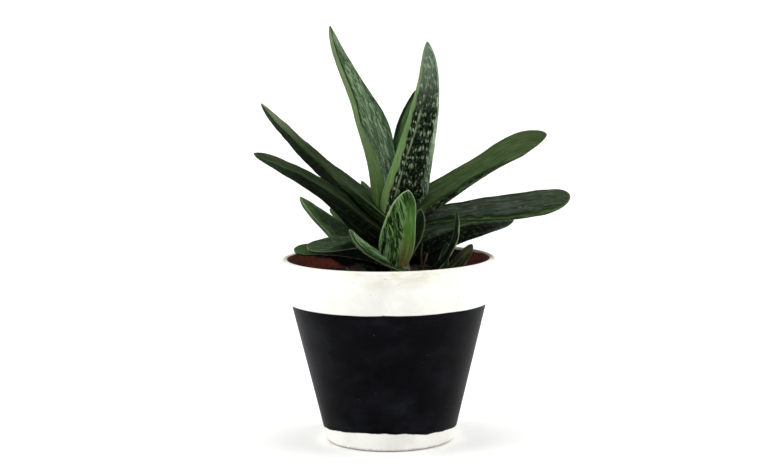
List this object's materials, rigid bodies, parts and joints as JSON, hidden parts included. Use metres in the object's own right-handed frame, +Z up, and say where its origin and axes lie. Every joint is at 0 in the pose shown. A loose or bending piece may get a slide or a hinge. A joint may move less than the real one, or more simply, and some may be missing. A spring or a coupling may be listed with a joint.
{
  "type": "potted gasteria",
  "caption": "Clump of thick, keeled, spotted succulent leaves fanning out of a tapered clay pot with a thick collar; it stands on its flat base.",
  "frame": {"origin": "centre of the pot's flat base, on the surface it stands on", "axes": "+Z up along the pot's axis, +X to the right of the plant seen from its front, +Y to its back"},
  "size_m": [0.1946, 0.1425, 0.2568],
  "materials": {
    "pot": "matt black paint on the clay body, off-white paint on the collar, bare clay inside",
    "soil": "dark, crumbly potting soil",
    "stem": "pale green, ringed with leaf scars",
    "leaf": "waxy dark green with pale spots in bands and pale margins",
    "pup_leaf": "waxy fresh green with dark and light mottling and pale margins"
  },
  "bodies": {
    "root": {"pot": "pot", "soil": "soil", "stem_main": "stem", "stem_pup_front": "stem", "stem_pup_right": "stem", "leaf_resting_left": "leaf", "leaf_drooping_left": "leaf", "leaf_low_left": "leaf", "leaf_low_right": "leaf", "leaf_low_back": "leaf", "leaf_back_left": "leaf", "leaf_mid_right": "leaf", "leaf_mid_left": "leaf", "leaf_short_back": "leaf", "leaf_back": "leaf", "leaf_high_left": "leaf", "leaf_high_right": "leaf", "leaf_tall_front": "leaf", "leaf_tall_left": "leaf", "leaf_tall_back": "leaf", "pup_front_leaf_left": "pup_leaf", "pup_front_leaf_front": "pup_leaf", "pup_front_leaf_back": "pup_leaf", "pup_right_leaf_upright": "pup_leaf", "pup_right_leaf_right": "pup_leaf", "pup_right_leaf_back": "pup_leaf"}
  },
  "joints": []
}
